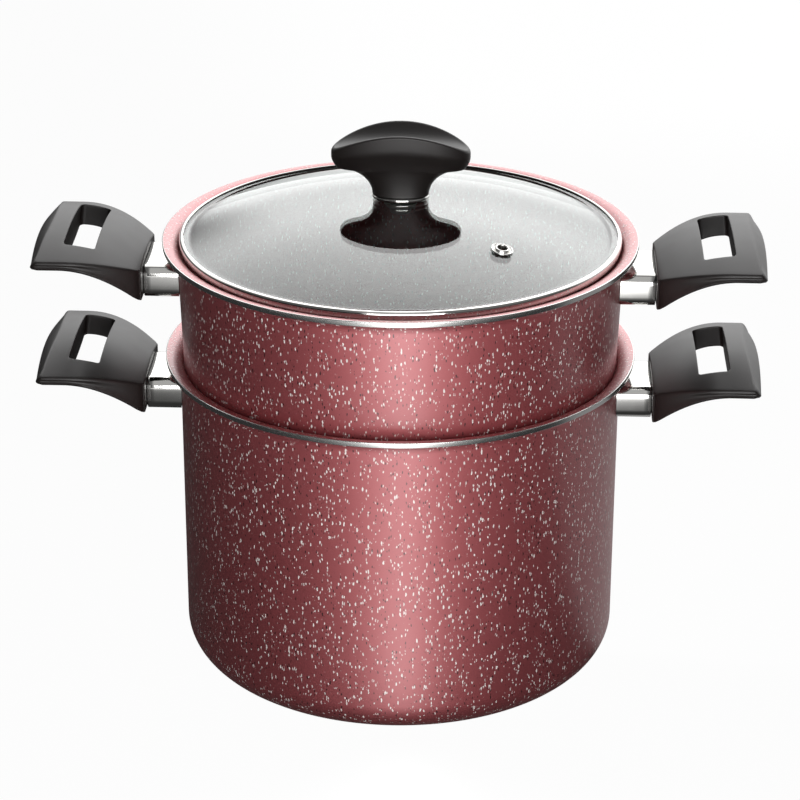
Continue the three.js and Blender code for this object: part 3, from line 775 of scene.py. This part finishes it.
def cross_head_screw(name, shank, length, head, height):
    """A pan-head screw on Z, its head's seat at zero and its shank below."""
    bend = HARDWARE_ROUND
    profile = [
        (0.0, -length, 0),
        (shank - bend, -length, 0),
        (shank, -length + bend, 0),
        (shank, 0.0, 0),
        (head - bend, 0.0, 0),
        *arc(head - bend, bend, bend, -90, 0, 3),
        *arc(head - height / 2, height / 2, height / 2, 0, 90, 8),
        (0.0, height, 0),
    ]
    body = mesh_of(name, turned(profile, AROUND_SMALL), [SCREW_STEEL])
    corners, *rest = cross_recess(RECESS_REACH * head, RECESS_BREADTH * head, RECESS_DEPTH * height)
    raised = [(x, y, z + height) for x, y, z in corners]
    return cut(body, mesh_of(name + "_recess", (raised, *rest), [SCREW_STEEL]))


def side_handles(owner, radius, taper):
    """Both handles of one shell, each with its sleeve, screw and weld stud."""
    screw_low, screw_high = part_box(f"{owner}_handle_screw_right")
    low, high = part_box(f"{owner}_flame_guard_right")
    root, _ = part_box(f"{owner}_handle_right")
    axis = (low.z + high.z) / 2
    head = (screw_high.y - screw_low.y) / 2
    length = screw_high.x - screw_low.x - SCREW_HEAD
    screw = cross_head_screw(f"{owner}_grip_screw", SCREW_SHANK, length, head, SCREW_HEAD)
    sleeve = sleeve_mesh(f"{owner}_sleeve", low, high, radius, taper)
    outwards = Matrix.Rotation(0.5 * pi, 4, "Y")
    grip_place = Matrix.Translation((root.x + SPIGOT, 0, axis))
    screw_place = Matrix.Translation((screw_high.x - SCREW_HEAD, 0, axis)) @ outwards
    for side, turn in (("right", 0.0), ("left", pi)):
        spin = Matrix.Rotation(turn, 4, "Z")
        for piece, mesh, slot, node, place in (
            ("grip", GRIP, "bakelite", "handle", spin @ grip_place),
            ("sleeve", sleeve, "polished_steel", "flame_guard", spin),
            ("grip_screw", screw, "screw_steel", "handle_screw", spin @ screw_place),
        ):
            add_piece(f"{owner}_{piece}_{side}", mesh, owner, f"{owner}_{node}_{side}", place)
        refinish(f"{owner}_weld_stud_{side}", ALUMINIUM)


# Lid


def crimped_band():
    """The steel channel pressed over the edge of the glass."""
    low, high = band_low.z, band_high.z
    outer = band_high.x - BAND_BEND
    inner = band_high.x - BAND_LAP
    sheet = BAND_SHEET
    profile = [
        (inner, low + BAND_TIP, 0),
        (inner + BAND_TIP, low, 0),
        *arc(outer, low + BAND_BEND, BAND_BEND, -90, 0, 6),
        *arc(outer, high - BAND_BEND, BAND_BEND, 0, 90, 6),
        (inner + BAND_TIP, high, 0),
        (inner, high - BAND_TIP, 0),
        (inner, high - sheet, 0),
        *arc(outer, high - BAND_BEND, BAND_BEND - sheet, 90, 0, 6),
        *arc(outer, low + BAND_BEND, BAND_BEND - sheet, 0, -90, 6),
        (inner, low + sheet, 0),
    ]
    mesh = mesh_of("crimped_band", turned(profile, closed=True), [STAINLESS])
    add_piece("crimped_band", mesh, "lid", "lid_band")


glass_edge_top = glass_low.z + GLASS
dome_radius = glass_high.x - GLASS_EDGE
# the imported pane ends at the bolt's hole, a hair below the crest
glass_rise = (glass_high.z - glass_edge_top) / (1 - (BOLT_HOLE / dome_radius) ** 2)


def dome(radius):
    """Height of the glass's upper face: a flat ring that turns softly into the dome."""
    rise = glass_rise * (1 - (radius / dome_radius) ** 2)
    return glass_edge_top + (rise + sqrt(rise * rise + GLASS_BLEND**2)) / 2


def vent_place():
    """The vent stands square on the dome where the frame has it."""
    low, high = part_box("vent_eyelet")
    middle = (low + high) / 2
    away = hypot(middle.x, middle.y)
    slope = 2 * glass_rise * away / dome_radius**2
    turn = Matrix.Rotation(atan2(middle.y, middle.x), 4, "Z")
    out = away + VENT_MIDDLE * sin(atan(slope))
    return turn @ Matrix.Translation((out, 0, dome(out))) @ Matrix.Rotation(atan(slope), 4, "Y")


def domed_glass():
    ring_steps, dome_steps = 16, 36
    edge = GLASS_ROUND
    outer = glass_high.x
    turn = dome_radius - GLASS_EDGE  # well inside the crease, which is drawn finely
    radii = [lerp(outer - edge, turn, i / ring_steps) for i in range(ring_steps)]
    radii += [lerp(turn, BOLT_HOLE, i / dome_steps) for i in range(dome_steps + 1)]
    upper = [(radius, dome(radius), 0) for radius in radii]
    lower = [(radius, height - GLASS, 0) for radius, height, _ in reversed(upper)]
    profile = [
        *lower,
        *arc(outer - edge, dome(outer) - GLASS + edge, edge, -75, 0, 5),
        *arc(outer - edge, dome(outer) - edge, edge, 0, 75, 5),
        *upper,
    ]
    pane = mesh_of("domed_glass", turned(profile, closed=True), [CLEAR_GLASS])
    bore = VENT_BARREL + SEAT_GAP
    drill = [(0.0, -2 * GLASS, 0), (bore, -2 * GLASS, 0), (bore, GLASS, 0), (0.0, GLASS, 0)]
    corners, *rest = turned(drill, AROUND_SMALL)
    place = vent_place()
    placed = [place @ Vector(corner) for corner in corners]
    pane = cut(pane, mesh_of("vent_drill", (placed, *rest), [CLEAR_GLASS]))
    add_piece("domed_glass", pane, "lid", "lid_glass")


def rolled_eyelet():
    """A steel eyelet: a flange with a rolled rim, a groove and a lip rolled over the hole."""
    sheet = VENT_SHEET
    under = -GLASS - SEAT_GAP
    top = SEAT_GAP + VENT_RIM
    bend = sheet / 2
    lip = (VENT_BARREL - VENT_HOLE) / 2
    lip_radius = VENT_HOLE + lip
    groove = (lip_radius + lip + VENT_FLANGE - sheet) / 2
    profile = [
        (VENT_HOLE, under - sheet, 0),
        *arc(VENT_FLANGE - sheet - bend, under - bend, bend, -90, 90, 8),
        (VENT_BARREL, under, 0),
        (VENT_BARREL, SEAT_GAP, 0),
        (VENT_FLANGE - bend, SEAT_GAP, 0),
        (VENT_FLANGE, SEAT_GAP + bend, 0),
        *arc(VENT_FLANGE - bend, top - bend, bend, 0, 180, 10),
        (groove, top - sheet, 0),
        *arc(lip_radius, top + VENT_LIP - lip, lip, 0, 180, 12),
    ]
    mesh = mesh_of("rolled_eyelet", turned(profile, AROUND_SMALL, closed=True), [TUMBLED])
    add_piece("rolled_eyelet", mesh, "lid", "vent_eyelet", vent_place())


def oval(half_length, half_width, height_at, power=2.0, around=96):
    """A loop of points; past a power of 2 it is squarer than an ellipse."""
    points = []
    for i in range(around):
        angle = 2 * pi * i / around
        along, across = cos(angle), sin(angle)
        x = half_length * copysign(abs(along) ** (2 / power), along)
        y = half_width * copysign(abs(across) ** (2 / power), across)
        points.append((x, y, height_at(x)))
    return points


def oval_collar():
    """The polished ring between knob and glass."""
    low, high = collar_low.z, collar_high.z
    length, width, bend = collar_high.x, collar_high.y, COLLAR_ROUND
    bend_steps = 4
    loops = [oval(BOLT_HOLE, BOLT_HOLE, lambda x: low)]
    for start, height in ((-90, low + bend), (0, high - bend)):
        for i in range(bend_steps + 1):
            turn = radians(start + 90 * i / bend_steps)
            inset = bend * (1 - cos(turn))
            level = height + bend * sin(turn)
            loops.append(oval(length - inset, width - inset, lambda x, level=level: level))
    loops.append(oval(BOLT_HOLE, BOLT_HOLE, lambda x: high))
    mesh = mesh_of("oval_collar", skinned(loops, True), [STAINLESS])
    add_piece("oval_collar", mesh, "lid", "knob_collar")


def wing_knob():
    """The neck flares into wings, an upright band runs round under the top edge, and the top is dished."""
    neck_steps, wall_steps, crease_steps, dish_steps = 20, 24, 8, 14
    foot = knob_low.z
    length, width = knob_high.x, knob_high.y
    tall = knob_high.z - knob_low.z
    wing = length - KNOB_WING_ROUND
    band_foot = tall - KNOB_BAND
    crease = KNOB_CREASE
    loops = []

    def top_edge(x):
        return tall - KNOB_ARCH * (x / length) ** 2

    def width_at(height):
        swell = clamp(smooth_least(height / band_foot, 1.0, KNOB_BAND_BLEND)) ** KNOB_SWELL
        return lerp(KNOB_NECK_WIDTH / 2, width, swell)

    def ring(half_length, half_width, height_at):
        loops.append(oval(half_length, half_width, lambda x: foot + height_at(x), KNOB_PLAN))

    for i in range(neck_steps + 1):
        turn = 0.5 * pi * i / neck_steps
        height = KNOB_WING * sin(turn)
        half_length = lerp(KNOB_NECK_LENGTH / 2, wing, 1 - cos(turn))
        ring(half_length, width_at(height), lambda x: height)
    for i in range(1, wall_steps + 1):
        share = i / wall_steps
        left = 1 - clamp(share / KNOB_WING_SHARE)
        half_length = length - KNOB_WING_ROUND * left * left
        half_width = width_at(lerp(KNOB_WING, tall, share))
        ring(half_length, half_width, lambda x: lerp(KNOB_WING, top_edge(x) - crease, share))
    # the rounding runs over the edge until it meets the slope of the dish
    dish_slope = atan(2 * KNOB_DISH / width)
    over = 0.5 * pi + dish_slope
    for i in range(1, crease_steps + 1):
        turn = over * i / crease_steps
        inset = crease * (1 - cos(turn))
        sink = crease * (1 - sin(turn))
        ring(length - inset, width - inset, lambda x: top_edge(x) - sink)
    for i in range(1, dish_steps):
        share = 1 - i / dish_steps
        deeper = sink + (KNOB_DISH - sink) * (1 - share * share)
        ring((length - inset) * share, (width - inset) * share, lambda x: top_edge(x) - deeper)
    mesh = mesh_of("wing_knob", skinned(loops, False), [BAKELITE])
    add_piece("wing_knob", mesh, "lid", "lid_knob")


def lid_stack():
    """The bolt, washer and seal that hold the knob from under the glass."""
    for name, node, slot, finish in (
        ("bolt_washer", "knob_washer", "screw_steel", SCREW_STEEL),
        ("bolt_seal", "knob_gasket", "silicone", SILICONE),
    ):
        low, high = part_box(node)
        bend = HARDWARE_ROUND
        profile = [
            (BOLT_HOLE, low.z, 0),
            *arc(high.x - bend, low.z + bend, bend, -90, 0, 4),
            *arc(high.x - bend, high.z - bend, bend, 0, 90, 4),
            (BOLT_HOLE, high.z, 0),
        ]
        mesh = mesh_of(name, turned(profile, AROUND_SMALL, closed=True), [finish])
        add_piece(name, mesh, "lid", node)
    low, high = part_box("knob_screw")
    mesh = cross_head_screw("lid_bolt", BOLT_SHANK, high.z - low.z - BOLT_HEAD, high.x, BOLT_HEAD)
    place = Matrix.Translation((0, 0, low.z + BOLT_HEAD)) @ Matrix.Rotation(pi, 4, "X")
    add_piece("lid_bolt", mesh, "lid", "knob_screw", place)
    refinish("knob_insert", BRASS)


# Studio

CAMERA_AROUND = radians(2.315)
CAMERA_AWAY = 1361.83 * MM
CAMERA_UP = 744.12 * MM
CAMERA_PITCH = radians(23.632)
CAMERA_ROLL = radians(0.204)
CAMERA_LENS = 118.16
CAMERA_SENSOR = 36.0
FLOOR_REACH = 5.0
FLOOR_DROP = 0.4 * MM
PAPER_GLOW = 0.97  # share of the paper's own white; the rest takes the shadow
AMBIENT = 0.1  # light from all round
REFLECTION_SIDE = 3.0
REFLECTION_DROP = 0.2 * MM  # the painted reflection sheets lie between the object and the floor
PAINTED_DARK_GLOW = 0.04  # glow of those sheets where they are dark: painted shade reflected in the object's flanks
PAINTED_RIGHT_GLOW = 0.35  # and at their right end, a lighter painted reflection
FRONT_REFLECTION_REACH = 1.3  # how far the painted reflection sheets reach out
BACK_REFLECTION_REACH = 5.0
NEAR_AXIS = 2 * MM  # keeps a division away from zero
STREAK = 4.2  # brightness of the painted highlight streak in front, which the walls reflect
STREAK_SLOPE = 0.25  # how fast it widens
STREAK_APEX = 0.03  # where it starts
STREAK_LEAN = 0.061  # to the right
SKIRT = 0.5  # brightness of the wider painted glow round it
SKIRT_SLOPE = 0.5
# Painted reflections in the world: only mirrors and bent rays see the room, strip, horizon and panel, with
# painted shade on the left; diffuse light from all round is AMBIENT alone
ROOM_DIM = 0.06  # what mirrors see round the camera
ROOM_STRIP = 0.4  # a painted pale strip of light above and behind it, seen only in reflections
HORIZON, HORIZON_LEFT = 1.5, 0.064  # what they see low down behind the object
PANEL, PANEL_LEFT = 3.3, 1.98  # and high up
RAMP = ("Value", "From Min", "From Max", "To Min", "To Max")  # sockets that a row of ramps fills


def photo_camera():
    data = bpy.data.cameras.new("photo_camera")
    data.lens = CAMERA_LENS
    data.sensor_width = CAMERA_SENSOR
    camera = add_object("photo_camera", data)
    around = Matrix.Rotation(CAMERA_AROUND, 4, "Z")
    tilt = Matrix.Rotation(0.5 * pi - CAMERA_PITCH, 4, "X")
    roll = Matrix.Rotation(CAMERA_ROLL, 4, "Z")
    camera.matrix_world = around @ Matrix.Translation((0, -CAMERA_AWAY, CAMERA_UP)) @ tilt @ roll
    bpy.context.scene.camera = camera


def stage_sheet(name, finish, side, near, far, place):
    """A flat sheet that belongs to the studio."""
    corners = [(-side, near, 0.0), (side, near, 0.0), (side, far, 0.0), (-side, far, 0.0)]
    sheet = add_object(name, mesh_of(name, (corners, [[0, 1, 2, 3]], [0]), [finish]))
    sheet.matrix_world = place
    return sheet


def white_floor():
    """White paper with a faint shadow: camera, mirrors and glass see mostly its own white."""
    finish, tree, _ = new_finish("white_paper_sweep")
    path = add_node(tree, "LightPath").outputs
    seen = path["Is Camera Ray"]
    for ray in ("Is Glossy Ray", "Is Transmission Ray"):
        seen = add_node(tree, "Math", {0: seen, 1: path[ray]}, operation="MAXIMUM")
    share = add_node(tree, "Math", {0: seen, 1: PAPER_GLOW}, operation="MULTIPLY")
    paper = add_node(tree, "BsdfDiffuse", {"Color": linear("#f3f3f3")})
    glow = add_node(tree, "Emission", {"Strength": 1.0})
    dressed(finish, {0: share, 1: paper, 2: glow}, "MixShader")
    place = Matrix.Translation((0, 0, -FLOOR_DROP))
    floor = stage_sheet("white_floor", finish, FLOOR_REACH, -FLOOR_REACH, FLOOR_REACH, place)


def white_surround():
    """A white backdrop; mirrors and bent rays see instead a painted reflection: a dim room and a bright panel
    behind the object, which light nothing diffusely.
    """
    world = bpy.data.worlds.new("studio")
    bpy.context.scene.world = world
    world.use_nodes = True
    tree = world.node_tree
    tree.nodes.clear()
    path = add_node(tree, "LightPath").outputs
    heading = add_node(tree, "TexCoord").outputs["Generated"]
    along = add_node(tree, "SeparateXYZ", {0: heading}).outputs
    aside = add_node(tree, "Math", {0: along["X"]}, operation="ABSOLUTE")
    ramps = {}
    for name, *row in (
        ("strip", aside, 0.3, 0.15, 0.0, ROOM_STRIP),
        ("front", along["Y"], 0.1, -0.15, 0.0, 1.0),
        ("above", along["Z"], 0.0, 0.1, 0.0, 1.0),
        ("behind", along["Y"], 0.1, 0.7, ROOM_DIM, 1.0),
        ("horizon", along["X"], -0.34, -0.2, HORIZON_LEFT, HORIZON),
        ("panel", along["X"], -0.6, 0.1, PANEL_LEFT, PANEL),
    ):
        ramps[name] = add_node(tree, "MapRange", dict(zip(RAMP, row)), interpolation_type="SMOOTHSTEP")
    rise = dict(zip(RAMP, (along["Z"], 0.16, 0.54, ramps["horizon"], ramps["panel"])))
    back = add_node(tree, "MapRange", rise, interpolation_type="SMOOTHSTEP")
    front = add_node(tree, "Math", {0: ramps["front"], 1: ramps["above"]}, operation="MULTIPLY")
    backdrop = add_node(tree, "Math", {0: back, 1: ramps["behind"]}, operation="MULTIPLY")
    room = {0: ramps["strip"], 1: front, 2: backdrop}
    around = add_node(tree, "Math", room, operation="MULTIPLY_ADD")
    # a ray that came back out from under the lid has crossed the pane twice; a mirrored ray past that sees
    # only the ambient, painted shade under the glass
    tests = {}
    for bounce, limit in (("Diffuse", 0.5), ("Glossy", 0.5), ("Transmission", 2.5)):
        depth = path[f"{bounce} Depth"]
        tests[bounce] = add_node(tree, "Math", {0: depth, 1: limit}, operation="LESS_THAN")
    bent = {0: path["Is Glossy Ray"], 1: path["Is Transmission Ray"]}
    mirror = add_node(tree, "Math", bent, operation="MAXIMUM")
    for test in ("Diffuse", "Transmission"):
        mirror = add_node(tree, "Math", {0: mirror, 1: tests[test]}, operation="MULTIPLY")
    through = path["Is Transmission Ray"]
    for test in ("Diffuse", "Glossy"):
        through = add_node(tree, "Math", {0: through, 1: tests[test]}, operation="MULTIPLY")
    clear = add_node(tree, "Math", {0: path["Is Camera Ray"], 1: through}, operation="MAXIMUM")
    mirrored = add_node(tree, "Mix", {0: mirror, 2: AMBIENT, 3: around})
    strength = add_node(tree, "Mix", {0: clear, 2: mirrored, 3: 1.0})
    sky = add_node(tree, "Background", {"Color": linear("#ffffff"), "Strength": strength})
    add_node(tree, "OutputWorld", {"Surface": sky})


def softbox(name, place, aim, width, height, power):
    """A soft lamp that isn't seen through the glass."""
    data = bpy.data.lights.new(name, "AREA")
    data.shape = "RECTANGLE"
    data.size = width
    data.size_y = height
    data.energy = power
    lamp = add_object(name, data)
    lamp.location = place
    lamp.rotation_euler = (Vector(aim) - Vector(place)).to_track_quat("-Z", "Y").to_euler()
    lamp.visible_transmission = False


def painted_reflection_sheet(name, turn, far, brightness):
    """A sheet under the object that glows though it is no lamp: only the object's surfaces see it and it
    casts no shadow, so it paints reflections, as bright as a function of its plan says.
    """
    finish, tree, place = new_finish(name + "_paper")
    plan = add_node(tree, "SeparateXYZ", {0: place}).outputs
    reach = add_node(tree, "Math", {0: plan["Y"], 1: NEAR_AXIS}, operation="MAXIMUM")
    bearing = add_node(tree, "Math", {0: plan["X"], 1: reach}, operation="DIVIDE")
    strength = brightness(tree, plan["X"], plan["Y"], bearing)
    # a glow, not a lamp and not lit paper: what the object's surfaces see of it is painted reflection
    dressed(finish, {"Strength": strength}, "Emission")
    place = Matrix.Translation((0, 0, -REFLECTION_DROP)) @ Matrix.Rotation(turn, 4, "Z")
    card = stage_sheet(name, finish, REFLECTION_SIDE, 0.0, far, place)
    card.visible_camera = False
    card.visible_transmission = False
    card.visible_shadow = False


def front_streak(tree, across, out, bearing):
    """A painted highlight: a soft bright streak that runs out from the object for the walls to reflect, with
    painted shade close to the foot, over a painted dark ground that is lighter on the right.
    """
    apex = -STREAK_SLOPE * STREAK_APEX
    width = add_node(tree, "Math", {0: out, 1: STREAK_SLOPE, 2: apex}, operation="MULTIPLY_ADD")
    spread = add_node(tree, "Math", {0: width, 1: NEAR_AXIS}, operation="MAXIMUM")
    middle = add_node(tree, "Math", {0: out, 1: STREAK_LEAN, 2: across}, operation="MULTIPLY_ADD")
    aside = add_node(tree, "Math", {0: middle, 1: spread}, operation="DIVIDE")
    glows = []
    for strength, narrowing in ((STREAK, 1.0), (SKIRT, STREAK_SLOPE / SKIRT_SLOPE)):
        away = add_node(tree, "Math", {0: aside, 1: narrowing}, operation="MULTIPLY")
        square = add_node(tree, "Math", {0: away, 1: away, 2: 1.0}, operation="MULTIPLY_ADD")
        falling = add_node(tree, "Math", {0: square, 1: 2.0}, operation="POWER")
        glows.append(add_node(tree, "Math", {0: strength, 1: falling}, operation="DIVIDE"))
    streak = add_node(tree, "Math", dict(enumerate(glows)), operation="ADD")
    # foot: painted shade close to the object's foot; near: dimmer close in; right: the painted dark ground,
    # lighter to the right
    ramps = {}
    for name, *row in (
        ("foot", out, 0.12, 0.19, 0.0, 1.0),
        ("near", out, 0.42, 0.6, 0.58, 1.0),
        ("right", bearing, -3.0, -9.0, PAINTED_DARK_GLOW, PAINTED_RIGHT_GLOW),
    ):
        ramps[name] = add_node(tree, "MapRange", dict(zip(RAMP, row)), interpolation_type="SMOOTHSTEP")
    shaded = add_node(tree, "Math", {0: streak, 1: ramps["foot"]}, operation="MULTIPLY")
    shine = {0: shaded, 1: ramps["near"], 2: ramps["right"]}
    return add_node(tree, "Math", shine, operation="MULTIPLY_ADD")


def back_gradient(tree, _, out, bearing):
    """Painted reflection behind the object: dark on the left as painted shade, white far behind and a mid
    grey on the right.
    """
    ramps = {}
    for name, *row in (
        ("far", out, 0.7, 1.1, 0.0, 1.0),
        ("lit", bearing, -0.3, 0.0, 0.0, 1.0),
        ("right", bearing, 0.1, 0.4, PAINTED_DARK_GLOW, PAINTED_RIGHT_GLOW),
    ):
        ramps[name] = add_node(tree, "MapRange", dict(zip(RAMP, row)), interpolation_type="SMOOTHSTEP")
    shine = {0: ramps["far"], 1: ramps["lit"], 2: ramps["right"]}
    return add_node(tree, "Math", shine, operation="MULTIPLY_ADD")


def studio():
    photo_camera()
    white_floor()
    white_surround()
    painted_reflection_sheet("front_painted_reflection", pi, FRONT_REFLECTION_REACH, front_streak)
    painted_reflection_sheet("back_painted_reflection", 0.0, BACK_REFLECTION_REACH, back_gradient)
    softbox("front_softbox", (0.11, -1.25, 0.4), aim=(0, 0, 0.15), width=0.8, height=0.7, power=12.0)
    softbox("back_softbox", (0.0, 1.25, 1.35), aim=(0, 0, 0.25), width=2.4, height=2.6, power=9.0)
    bpy.context.scene.view_settings.view_transform = "Standard"


studio()
GRIP = grip_mesh()
pressed_pot()
pressed_steamer()
side_handles("pot", wall_radius, 0.0)
guard_low, guard_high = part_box("steamer_flame_guard_right")
guard_depth = steamer_high.z - FLARE - (guard_low.z + guard_high.z) / 2
side_handles("steamer", wall_radius - steamer_taper * guard_depth, steamer_taper)
domed_glass()
crimped_band()
rolled_eyelet()
oval_collar()
wing_knob()
lid_stack()
